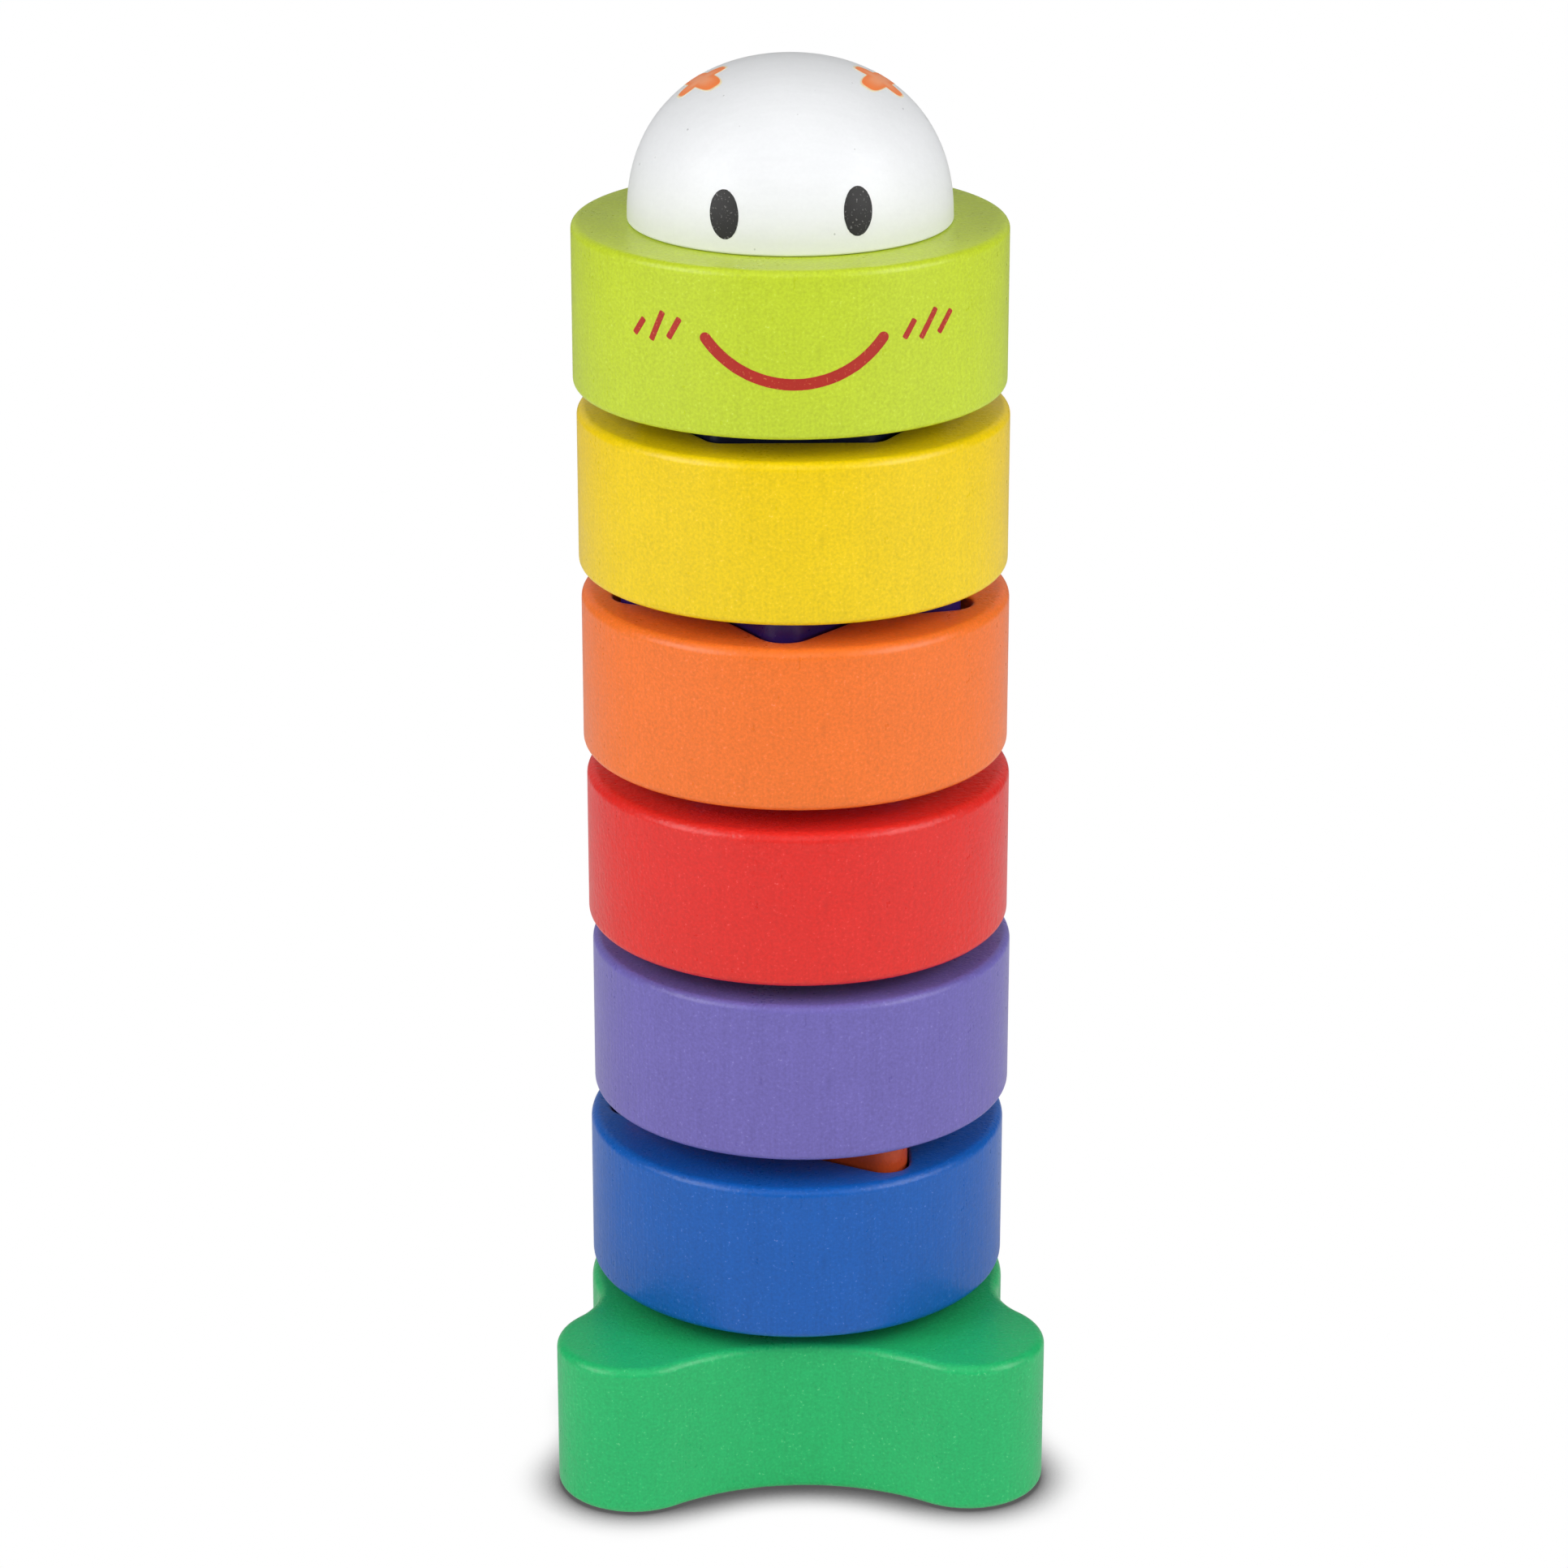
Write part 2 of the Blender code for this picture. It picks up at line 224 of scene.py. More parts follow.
def star_corners(tips, radius, waist, turn):
    """Corners of a star: tips at radius, inner corners at waist times radius."""
    corners = []
    for i in range(tips):
        corners.append(polar(radius, turn + 360.0 * i / tips))
        corners.append(polar(radius * waist, turn + 360.0 * (i + 0.5) / tips))
    return corners


def cross_corners(reach, arm):
    """Corners of an upright cross with arms 2 * arm wide."""
    quarter = [Vector((arm, -reach)), Vector((arm, -arm)), Vector((reach, -arm))]
    corners = []
    for i in range(4):
        turn = Matrix.Rotation(math.radians(90.0 * i), 2)
        corners.extend(turn @ corner for corner in quarter)
    return corners


def grown(corners, amount):
    """The polygon with every side moved outwards by amount."""
    moved = []
    for i, corner in enumerate(corners):
        before = (corner - corners[i - 1]).normalized()
        after = (corners[(i + 1) % len(corners)] - corner).normalized()
        normal_before = Vector((before.y, -before.x))
        normal_after = Vector((after.y, -after.x))
        bisector = (normal_before + normal_after).normalized()
        moved.append(corner + bisector * (amount / bisector.dot(normal_before)))
    return moved


def arc(centre, radius, start, end, steps):
    """Points on an arc between two angles in radians, both ends included."""
    points = []
    for i in range(steps + 1):
        angle = start + (end - start) * i / steps
        spoke = Vector((math.cos(angle), math.sin(angle)))
        points.append(Vector(centre) + radius * spoke)
    return points


def rounded(corners, radius):
    """The polygon with arcs for corners, and a point near each end of its straight sides."""
    points = []
    for i, corner in enumerate(corners):
        to_before = (corners[i - 1] - corner).normalized()
        to_after = (corners[(i + 1) % len(corners)] - corner).normalized()
        half = to_before.angle(to_after) / 2.0
        middle = (to_before + to_after).normalized()
        centre = corner + middle * (radius / math.sin(half))
        tangent = radius / math.tan(half)
        first = corner + to_before * tangent - centre
        last = corner + to_after * tangent - centre
        start = math.atan2(first.y, first.x)
        sweep = math.remainder(math.atan2(last.y, last.x) - start, math.tau)
        points.append(corner + to_before * (tangent + HOLD))
        points.extend(arc(centre, radius, start, start + sweep, CORNER_STEPS))
        points.append(corner + to_after * (tangent + HOLD))
    return points


def circle(radius, steps):
    """A full circle, counter-clockwise, without a repeated end."""
    return arc((0.0, 0.0), radius, 0.0, math.tau, steps)[:-1]


def oval(half_width, half_depth):
    """A full ellipse, counter-clockwise."""
    return [Vector((half_width * point.x, half_depth * point.y)) for point in circle(1.0, ROUND_STEPS)]


def touching_centre(centre, radius, blend):
    """Centre of a circle of radius blend that touches the body and the circle given, on its outer side."""
    apart = centre.length
    reach_body = BASE_RADIUS + blend
    reach_other = radius + blend
    along = (reach_body**2 - reach_other**2 + apart**2) / (2.0 * apart)
    across = math.sqrt(reach_body**2 - along**2)
    direction = centre.normalized()
    return direction * along + Vector((-direction.y, direction.x)) * across


def base_outline():
    """Half the base's outline from the front middle to the back middle, then its mirror image."""
    foot = Vector((FOOT_SIDE, -FOOT_FRONT))
    rise = FRONT_HOLLOW - FOOT_FRONT
    hollow_radius = (FOOT_SIDE**2 - FOOT_RADIUS**2 + rise**2) / (2.0 * (FOOT_RADIUS - rise))
    hollow = Vector((0.0, -(FRONT_HOLLOW + hollow_radius)))
    side = touching_centre(foot, FOOT_RADIUS, SIDE_HOLLOW_RADIUS)

    def angle(origin, target):
        return math.atan2(target.y - origin.y, target.x - origin.x)

    body = Vector((0.0, 0.0))
    right = arc(hollow, hollow_radius, math.pi / 2.0, angle(hollow, foot), FRONT_HOLLOW_STEPS)
    right += arc(foot, FOOT_RADIUS, angle(foot, hollow), angle(foot, side), FOOT_STEPS)[1:]
    right += arc(side, SIDE_HOLLOW_RADIUS, angle(side, foot) % math.tau, angle(side, body) % math.tau,
                 SIDE_HOLLOW_STEPS)[1:]
    right += arc(body, BASE_RADIUS, angle(body, side), math.pi / 2.0, BACK_STEPS)[1:]
    left = [Vector((-point.x, point.y)) for point in reversed(right[1:-1])]
    return right + left


def normals(outline):
    """The outward direction at each point of a counter-clockwise outline."""
    directions = []
    for i, point in enumerate(outline):
        along = (outline[(i + 1) % len(outline)] - outline[i - 1]).normalized()
        directions.append(Vector((along.y, -along.x)))
    return directions


KEY_SHAPES = {
    "triangle": (regular_corners(3, TRIANGLE_RADIUS, TRIANGLE_TURN), TRIANGLE_CORNER),
    "cross": (cross_corners(CROSS_REACH, CROSS_ARM), CROSS_CORNER),
    "square": (regular_corners(4, SQUARE_HALF * math.sqrt(2.0), SQUARE_TURN), SQUARE_CORNER),
    "star": (star_corners(STAR_TIPS, STAR_RADIUS, STAR_WAIST, STAR_TURN), STAR_CORNER),
    "hexagon": (regular_corners(6, HEXAGON_RADIUS, HEXAGON_TURN), HEXAGON_CORNER),
}


def key_outline(shape, clearance=0.0):
    """The outline of a key, or of its pocket when there is a clearance."""
    if shape == "oval":
        return oval(OVAL_HALF_WIDTH + clearance, OVAL_HALF_DEPTH + clearance)
    corners, radius = KEY_SHAPES[shape]
    return rounded(grown(corners, clearance), radius)


# ---------------------------------------------------------------- shaping

def loop_of(bm, outline, height, offset=0.0):
    """A closed loop of edges on the outline; each point remembers its place on it."""
    place = bm.verts.layers.int.get("place") or bm.verts.layers.int.new("place")
    ring = bmesh.ops.create_circle(bm, segments=len(outline), radius=1.0)["verts"]
    outward = normals(outline)
    for i, vert in enumerate(ring):
        vert[place] = i
        vert.co = (*(outline[i] + outward[i] * offset), height)
    return list({edge for vert in ring for edge in vert.link_edges})


def carry_on(bm, edges, outline, offset, height):
    """Extrudes a loop to a new height, moved outwards from the outline by offset."""
    place = bm.verts.layers.int["place"]
    outward = normals(outline)
    made = bmesh.ops.extrude_edge_only(bm, edges=edges)["geom"]
    for vert in made:
        if isinstance(vert, bmesh.types.BMVert):
            i = vert[place]
            vert.co = (*(outline[i] + outward[i] * offset), height)
    return [edge for edge in made if isinstance(edge, bmesh.types.BMEdge) and edge.is_boundary]


def solid_block(bm, outline, low, high, edge, segments):
    """An upright block on the outline with both rims rounded; gives its lower and upper flat faces."""
    face = bmesh.ops.contextual_create(bm, geom=loop_of(bm, outline, low))["faces"][0]
    risen = bmesh.ops.extrude_face_region(bm, geom=[face], use_keep_orig=True)
    top = [item for item in risen["geom"] if isinstance(item, bmesh.types.BMVert)]
    bmesh.ops.translate(bm, verts=top, vec=(0.0, 0.0, high - low))
    bmesh.ops.recalc_face_normals(bm, faces=bm.faces)
    rims = [item for item in bm.edges if abs(item.verts[0].co.z - item.verts[1].co.z) < edge]
    bmesh.ops.bevel(bm, geom=rims, offset=edge, offset_type="OFFSET", segments=segments,
                    profile=0.5, affect="EDGES", material=-1)
    flats = [item for item in bm.faces if len(item.verts) > 4]
    flats.sort(key=lambda item: item.calc_center_median().z)
    bmesh.ops.inset_region(bm, faces=flats, thickness=HOLD, use_even_offset=True, use_boundary=True)
    return flats


def recess(bm, flat, outline, depth, round_radius):
    """Sinks a pocket or a hole with rounded mouth and floor into a flat face."""
    mouth = flat.calc_center_median().z
    down = -1.0 if flat.normal.z > 0.0 else 1.0
    rim = list(flat.edges)
    bmesh.ops.delete(bm, geom=[flat], context="FACES_ONLY")
    edges = loop_of(bm, outline, mouth, round_radius + HOLD)
    around = edges
    for i in range(MOUTH_SEGMENTS + 1):
        turn = math.pi / 2.0 * i / MOUTH_SEGMENTS
        edges = carry_on(bm, edges, outline, round_radius * (1.0 - math.sin(turn)),
                         mouth + down * round_radius * (1.0 - math.cos(turn)))
    for i in range(MOUTH_SEGMENTS + 1):
        turn = math.pi / 2.0 * i / MOUTH_SEGMENTS
        edges = carry_on(bm, edges, outline, -round_radius * (1.0 - math.cos(turn)),
                         mouth + down * (depth - round_radius * (1.0 - math.sin(turn))))
    edges = carry_on(bm, edges, outline, -(round_radius + HOLD), mouth + down * depth)
    bmesh.ops.edgeloop_fill(bm, edges=edges)
    bmesh.ops.triangle_fill(bm, edges=rim + around, use_beauty=True, normal=(0.0, 0.0, -down))


def piece_from(bm, name, material, slot, body, *nodes, across=0.0):
    """Turns a finished shape into a piece that rides on its body in place of its nodes."""
    bmesh.ops.translate(bm, verts=bm.verts, vec=(across, 0.0, 0.0))
    bmesh.ops.recalc_face_normals(bm, faces=bm.faces)
    mesh = bpy.data.meshes.new(name)
    bm.to_mesh(mesh)
    bm.free()
    mesh.shade_smooth()
    piece = bpy.data.objects.new(name, mesh)
    bpy.context.scene.collection.objects.link(piece)
    mesh.materials.append(material)
    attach(piece, body)
    if nodes:
        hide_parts(*nodes)
    return piece


# ---------------------------------------------------------------- materials

class Field:
    """Something that varies over a surface; arithmetic on a number adds Math nodes."""

    def __init__(self, recipe, socket):
        self.recipe = recipe
        self.socket = socket

    def math(self, operation, *values):
        return self.recipe.add("ShaderNodeMath", {"operation": operation}, values)

    def __add__(self, other):
        return self.math("ADD", self, other)

    def __radd__(self, other):
        return self.math("ADD", other, self)

    def __sub__(self, other):
        return self.math("SUBTRACT", self, other)

    def __rsub__(self, other):
        return self.math("SUBTRACT", other, self)

    def __mul__(self, other):
        return self.math("MULTIPLY", self, other)

    def __rmul__(self, other):
        return self.math("MULTIPLY", other, self)

    def __pow__(self, other):
        return self.math("POWER", self, other)


class Recipe:
    """The nodes of one material, ending in its Principled shader."""

    def __init__(self, name):
        self.material = bpy.data.materials.new(name)
        self.material.use_nodes = True
        self.tree = self.material.node_tree
        self.shader = self.tree.nodes["Principled BSDF"]

    def add(self, kind, settings=None, inputs=(), output=0):
        """Any node: its settings first, then the values or links of its sockets."""
        node = self.tree.nodes.new(kind)
        for setting, value in (settings or {}).items():
            setattr(node, setting, value)
        named = inputs.items() if isinstance(inputs, dict) else enumerate(inputs)
        for key, value in named:
            if isinstance(value, Field):
                self.tree.links.new(value.socket, node.inputs[key])
            else:
                node.inputs[key].default_value = value
        return Field(self, node.outputs[output])

    def place(self, centre, scale=(1.0, 1.0, 1.0)):
        """Object coordinates measured from a point, stretched by scale."""
        where = self.add("ShaderNodeTexCoord", output=3)
        shift = [-part * stretch for part, stretch in zip(centre, scale)]
        return self.add("ShaderNodeMapping", inputs={"Vector": where, "Location": shift, "Scale": scale})

    def axes(self, vector):
        """The three parts of a vector."""
        node = self.add("ShaderNodeSeparateXYZ", inputs=[vector]).socket.node
        return [Field(self, socket) for socket in node.outputs]

    def noise(self, vector, scale, detail=2.0, rough=0.5):
        """Soft random values between 0 and 1, around one half; scale is how many in a metre."""
        return self.add("ShaderNodeTexNoise", inputs={"Vector": vector, "Scale": scale, "Detail": detail,
                                                      "Roughness": rough})

    def between(self, value, low, high, start=0.0, end=1.0):
        """A smooth step from start to end as value goes from low to high."""
        return self.add("ShaderNodeMapRange", {"interpolation_type": "SMOOTHSTEP"},
                        [value, low, high, start, end])

    def blend(self, factor, first, second):
        """The second colour over the first, as far as factor says; a colour is three numbers or a field."""
        layers = [part if isinstance(part, Field) else (*part, 1.0) for part in (first, second)]
        return self.add("ShaderNodeMix", {"data_type": "RGBA"}, {0: factor, 6: layers[0], 7: layers[1]}, 2)

    def shade(self, colour, amount):
        """A colour made lighter or darker by a number around one."""
        return self.add("ShaderNodeVectorMath", {"operation": "SCALE"}, {0: colour, 3: amount})

    def finish(self, varying, fixed):
        """Feeds the shader: varying links, then fixed values."""
        for key, value in varying.items():
            self.tree.links.new(value.socket, self.shader.inputs[key])
        for key, value in fixed.items():
            self.shader.inputs[key].default_value = value
        return self.material

    def bump(self, height, distance):
        """A normal from a height, with the height's full range in metres."""
        return self.add("ShaderNodeBump", inputs={"Height": height, "Distance": distance, "Strength": 1.0})


# Paint: linear colour, then how strongly the grain, the speckle and the spray texture show.
# A rim band is where a painted highlight makes the paint a little lighter, and a pocket's inside starts a
# little below the faces.
PAINTS = {
    "green": ((0.0180, 0.4630, 0.1420), 0.8, 1.0, 1.0),
    "blue": ((0.0052, 0.1025, 0.4390), 1.3, 1.0, 1.0),
    "purple": ((0.1590, 0.1318, 0.4415), 1.3, 1.0, 1.0),
    "red": ((0.7360, 0.0250, 0.0192), 0.6, 0.8, 1.8),
    "orange": ((0.8800, 0.1780, 0.0240), 0.6, 0.9, 0.9),
    "yellow": ((0.8450, 0.5960, 0.0020), 0.7, 0.9, 0.9),
    "lime": ((0.5230, 0.6530, 0.0292), 0.6, 0.9, 0.9),
    "navy": ((0.008, 0.012, 0.050), 0.6, 0.6, 0.8),
    "violet": ((0.032, 0.010, 0.150), 0.6, 0.6, 0.8),
    "vermilion": ((0.680, 0.085, 0.018), 0.6, 0.6, 0.8),
    "sky": ((0.040, 0.240, 0.560), 0.6, 0.6, 0.8),
    "amber": ((0.800, 0.400, 0.020), 0.6, 0.6, 0.8),
}
TOP_RIM_HIGHLIGHT_BAND = (1.6 * MM, 0.2 * MM)
LOW_RIM_HIGHLIGHT_BAND = (1.4 * MM, 0.1 * MM)
RIM_HIGHLIGHT_SIDE_BAND = (27.0 * MM, 29.2 * MM)
INNER_BAND = (28.4 * MM, 28.0 * MM)
INSIDE_FROM = (0.5 * MM, 0.9 * MM)
PAINT_ROUGHNESS = 0.31
PAINT_RELIEF = 0.12 * MM
DOME_RELIEF = 0.03 * MM
INK_RELIEF = 0.02 * MM
FLOWER_RELIEF = 0.015 * MM
BEECH_RELIEF = 0.05 * MM


def painted_wood(name, colour, centre, low, high, pocketed=True):
    """Sprayed satin paint over sanded beech: speckle, upright grain, and a painted highlight that lightens
    the rims.
    """
    paint, grain_part, speckle_part, peel_part = PAINTS[colour]
    recipe = Recipe(name)
    at = recipe.place(centre)
    x, y, z = recipe.axes(at)
    radius = (x * x + y * y) ** 0.5
    low, high = low - centre[2], high - centre[2]

    cloud = recipe.noise(at, 95.0, 3.0)
    speckle = recipe.noise(at, 2400.0, 2.0, 0.6)
    peel = recipe.noise(at, 1150.0, 2.0)
    fibres = recipe.noise(recipe.place(centre, (1.0, 1.0, 0.035)), 2100.0, 3.0, 0.6)
    bands = recipe.noise(recipe.place(centre, (1.0, 1.0, 0.06)), 330.0, 2.0)
    grain = (fibres - 0.5) * 0.7 + (bands - 0.5) * 0.5

    # Painted highlight: the colour is made a little lighter close to the top and lower rims of the outer
    # side.
    rim_highlight_mask = (recipe.between(z, *(high - far for far in TOP_RIM_HIGHLIGHT_BAND))
              + recipe.between(z, *(low + far for far in LOW_RIM_HIGHLIGHT_BAND)))
    rim_highlight = rim_highlight_mask * recipe.between(radius, *RIM_HIGHLIGHT_SIDE_BAND)
    tone = (1.0 + (cloud - 0.5) * 0.10 + (speckle - 0.5) * (0.55 * speckle_part)
            + grain * (0.22 * grain_part) + rim_highlight * 0.05)
    flecks = recipe.between(speckle, 0.64, 0.78, 0.0, 0.30 * speckle_part)
    base = recipe.shade(recipe.blend(flecks, paint, [0.65 * part + 0.30 for part in paint]), tone)

    rough = PAINT_ROUGHNESS + (cloud - 0.5) * 0.10 + (peel - 0.5) * 0.12 + grain * 0.10
    if pocketed:
        inside = (recipe.between(radius, *INNER_BAND)
                  * recipe.between(z, *(high - far for far in INSIDE_FROM))
                  * recipe.between(z, *(low + far for far in INSIDE_FROM)))
        rough = rough + inside * 0.22
        grain = grain * (1.0 + inside * 1.6)
    height = peel * (0.55 * peel_part) + speckle * 0.25 + grain * (0.55 * grain_part) + cloud * 0.4
    return recipe.finish({"Base Color": base, "Roughness": rough,
                          "Normal": recipe.bump(height, PAINT_RELIEF)},
                         {"Specular IOR Level": 0.35})


def dome_paint(name, centre):
    """White sprayed dome: faint lengthwise texture, a few fine pores."""
    recipe = Recipe(name)
    at = recipe.place(centre)
    cloud = recipe.noise(at, 110.0, 3.0)
    speckle = recipe.noise(at, 2300.0, 2.0, 0.6)
    peel = recipe.noise(at, 1000.0, 2.0)
    streaks = recipe.noise(recipe.place(centre, (0.12, 1.0, 1.0)), 900.0, 3.0)
    pores = recipe.noise(recipe.place(centre, (1.0, 1.0, 0.6)), 1050.0, 1.0)
    pore = recipe.between(pores, 0.79, 0.82)
    tone = 1.0 + (cloud - 0.5) * 0.03 + (speckle - 0.5) * 0.06 + (streaks - 0.5) * 0.05 - pore * 0.35
    base = recipe.shade(WHITE_PAINT, tone)
    height = peel * 0.35 + streaks * 0.35 + speckle * 0.2 - pore * 0.8
    rough = 0.38 + (cloud - 0.5) * 0.1 + (peel - 0.5) * 0.08
    return recipe.finish({"Base Color": base, "Roughness": rough,
                          "Normal": recipe.bump(height, DOME_RELIEF)},
                         {"Specular IOR Level": 0.35})


def printed_ink(name, ink, under, holes):
    """Pad-printed ink: an even film with pinholes that show a little of what is under it."""
    recipe = Recipe(name)
    at = recipe.place((0.0, 0.0, 0.0))
    dots = recipe.noise(at, 3000.0, 1.0, 0.5)
    cloud = recipe.noise(at, 420.0, 2.0)
    pinholes = recipe.between(dots, 0.62, 0.74, 0.0, holes)
    base = recipe.shade(recipe.blend(pinholes, ink, under), 0.9 + cloud * 0.2)
    rough = 0.5 + (cloud - 0.5) * 0.15
    return recipe.finish({"Base Color": base, "Roughness": rough,
                          "Normal": recipe.bump(dots * 0.6 + cloud * 0.4, INK_RELIEF)},
                         {"Specular IOR Level": 0.4})


def flower_ink():
    """Orange ink, deeper towards the petal ends, with a narrow cream rim."""
    recipe = Recipe("flower_ink")
    out = recipe.axes(recipe.add("ShaderNodeUVMap", {"uv_map": "film"}))[0]
    dots = recipe.noise(recipe.place((0.0, 0.0, 0.0)), 2800.0, 2.0)
    petal = recipe.blend(recipe.between(out, 0.25, 0.85), INK_PEACH, INK_ORANGE)
    rimmed = recipe.blend(recipe.between(out, 0.90, 0.95), petal, INK_CREAM)
    base = recipe.shade(rimmed, 0.92 + dots * 0.16)
    return recipe.finish({"Base Color": base, "Roughness": 0.45 + (dots - 0.5) * 0.2,
                          "Normal": recipe.bump(dots, FLOWER_RELIEF)}, {"Specular IOR Level": 0.35})


def bare_beech():
    """Bare beech dowel: pale wood with lengthwise flecks."""
    recipe = Recipe("bare_beech")
    at = recipe.place((0.0, 0.0, 0.0))
    rays = recipe.noise(recipe.place((0.0, 0.0, 0.0), (1.0, 1.0, 0.12)), 1500.0, 3.0, 0.6)
    rings = recipe.noise(recipe.place((0.0, 0.0, 0.0), (1.0, 0.3, 0.03)), 700.0, 2.0)
    fleck = recipe.between(rays, 0.60, 0.72)
    base = recipe.blend(fleck * 0.6, recipe.blend(rings, BEECH_DARK, BEECH_PALE), BEECH_FLECK)
    height = rays * 0.6 + recipe.noise(at, 2600.0) * 0.3
    return recipe.finish({"Base Color": base, "Roughness": 0.55 + (rays - 0.5) * 0.2,
                          "Normal": recipe.bump(height, BEECH_RELIEF)}, {"Specular IOR Level": 0.4})


# ---------------------------------------------------------------- blocks and keys

def middle_of(node):
    """The centre of a node's box."""
    low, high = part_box(node)
    return (low + high) / 2.0


def build_base():
    """The footed base with the oval pocket."""
    low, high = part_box("base_block")
    bm = bmesh.new()
    flats = solid_block(bm, base_outline(), low.z, high.z, EDGES["base_block"], EDGE_SEGMENTS)
    recess(bm, flats[1], key_outline("oval", POCKET_CLEARANCE), POCKET_DEPTH, POCKET_ROUND)
    material = painted_wood("painted_green", "green", (0.0, 0.0, low.z), low.z, high.z)
    piece_from(bm, "base_footed_block", material, "paint_green", "base", "base_block")


def build_block(name, colour, body, node, pocket, pocket_depth, pocket_round):
    """A turned block with a dowel hole below and a pocket or a dowel hole in its top."""
    low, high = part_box(node)
    across = middle_of(node).x
    bm = bmesh.new()
    radius = (high.x - low.x) / 2.0
    flats = solid_block(bm, circle(radius, ROUND_STEPS), low.z, high.z, EDGES[node], EDGE_SEGMENTS)
    recess(bm, flats[0], circle(HOLE_RADIUS, HOLE_STEPS), HOLE_IN_BLOCK, HOLE_ROUND)
    recess(bm, flats[1], pocket, pocket_depth, pocket_round)
    material = painted_wood(f"painted_{colour}", colour, (across, 0.0, low.z), low.z, high.z)
    piece_from(bm, name, material, f"paint_{colour}", body, node, across=across)


def build_key(name, shape, colour, body, node):
    """A key glued under its block, with the hole for its dowel."""
    low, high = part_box(node)
    block_under = high.z + GLUE_GAP - GLUE_LINE
    across = middle_of(node.replace(f"_{shape}_key", "_key_dowel")).x
    bm = bmesh.new()
    flats = solid_block(bm, key_outline(shape), low.z, block_under, KEY_EDGE, KEY_SEGMENTS)
    recess(bm, flats[1], circle(HOLE_RADIUS, HOLE_STEPS), HOLE_IN_KEY, HOLE_ROUND)
    material = painted_wood(f"painted_{colour}_{shape}", colour, (across, 0.0, low.z), low.z, high.z, False)
    piece_from(bm, name, material, f"paint_{colour}", body, node, across=across)


BLOCKS = [  # colour, key under it, colour of the key, pocket in its top
    ("blue", "oval", "amber", "triangle"),
    ("purple", "triangle", "vermilion", "cross"),
    ("red", "cross", "green", "square"),
    ("orange", "square", "sky", "star"),
    ("yellow", "star", "violet", "hexagon"),
]


def build_blocks():
    """The five round blocks, each with its key."""
    for colour, shape, key_colour, pocket in BLOCKS:
        body = f"{colour}_body"
        build_block(f"{colour}_turned_block", colour, body, f"{colour}_disc",
                    key_outline(pocket, POCKET_CLEARANCE), POCKET_DEPTH, POCKET_ROUND)
        build_key(f"{colour}_block_{shape}_key", shape, key_colour, body, f"{colour}_disc_{shape}_key")


# ---------------------------------------------------------------- head

def dome_foot():
    """The height the dome stands at: the ring's top and a thin glue line."""
    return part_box("head_ring")[1].z + GLUE_LINE


def dome_section():
    """Half section of the dome: dowel hole, foot, rounded edge, crown."""
    points = [(0.0, HOLE_FOR_DOME), (HOLE_RADIUS, HOLE_FOR_DOME), (HOLE_RADIUS, 0.0),
              (DOME_RADIUS - DOME_EDGE - HOLD, 0.0)]
    for i in range(EDGE_SEGMENTS):
        turn = math.pi / 2.0 * i / EDGE_SEGMENTS
        points.append((DOME_RADIUS - DOME_EDGE * (1.0 - math.sin(turn)),
                       DOME_EDGE * (1.0 - math.cos(turn))))
    rise = DOME_HEIGHT - DOME_EDGE
    for i in range(DOME_RINGS + 1):
        turn = math.pi / 2.0 * i / DOME_RINGS
        points.append((DOME_RADIUS * max(math.cos(turn), 0.0) ** (2.0 / DOME_POWER),
                       DOME_EDGE + rise * math.sin(turn) ** (2.0 / DOME_POWER)))
    return points


def build_head():
    """The head ring, its key and the dome."""
    build_block("head_turned_ring", "lime", "head", "head_ring", circle(HOLE_RADIUS, HOLE_STEPS),
                HOLE_FOR_DOME, HOLE_ROUND)
    build_key("head_block_hexagon_key", "hexagon", "navy", "head", "head_hexagon_key")
    across = middle_of("head_dome").x
    foot = dome_foot()
    bm = bmesh.new()
    chain = [bm.verts.new((radius, 0.0, foot + height)) for radius, height in dome_section()]
    edges = [bm.edges.new(pair) for pair in zip(chain, chain[1:])]
    bmesh.ops.spin(bm, geom=chain + edges, cent=(0.0, 0.0, 0.0), axis=(0.0, 0.0, 1.0),
                   angle=math.tau, steps=ROUND_STEPS, use_merge=True)
    bmesh.ops.remove_doubles(bm, verts=bm.verts, dist=MERGE)
    material = dome_paint("painted_white", (across, 0.0, foot))
    piece = piece_from(bm, "head_turned_dome", material, "paint_white", "head", "head_dome", across=across)
    piece.data.set_sharp_from_angle(angle=DOME_CREASE)


# ---------------------------------------------------------------- printed face

def on_ring(across, centre):
    """A place on the ring's side from a distance round it and a height, in metres."""
    low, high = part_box("head_ring")
    radius = (high.x - low.x) / 2.0

    def place(around, up, lift):
        turn = (centre[0] + around) / radius
        reach = radius + lift
        return Vector((across + reach * math.sin(turn), -reach * math.cos(turn), low.z + centre[1] + up))

    return place


def on_dome(across, azimuth, height, tilt):
    """A place on the dome from distances round it and up it, from a point at an azimuth and height."""
    rise = DOME_HEIGHT - DOME_EDGE
    hub = Vector((across, 0.0, dome_foot() + DOME_EDGE))

    def reach(direction):
        level = math.hypot(direction.x, direction.y) / DOME_RADIUS
        return (level**DOME_POWER + (abs(direction.z) / rise) ** DOME_POWER) ** (-1.0 / DOME_POWER)

    up = height - DOME_EDGE
    level = DOME_RADIUS * (1.0 - (up / rise) ** DOME_POWER) ** (1.0 / DOME_POWER)
    turn = math.radians(azimuth)
    out = Vector((level * math.sin(turn), -level * math.cos(turn), up))
    far = out.length
    out.normalize()
    side = Vector((math.cos(turn), math.sin(turn), 0.0))
    upward = out.cross(side)
    upward = upward if upward.z > 0.0 else -upward
    lean = math.radians(tilt)
    first = side * math.cos(lean) + upward * math.sin(lean)
    second = upward * math.cos(lean) - side * math.sin(lean)

    def place(around, upwards, lift):
        direction = (out + first * (around / far) + second * (upwards / far)).normalized()
        return hub + direction * (reach(direction) + lift)

    return place


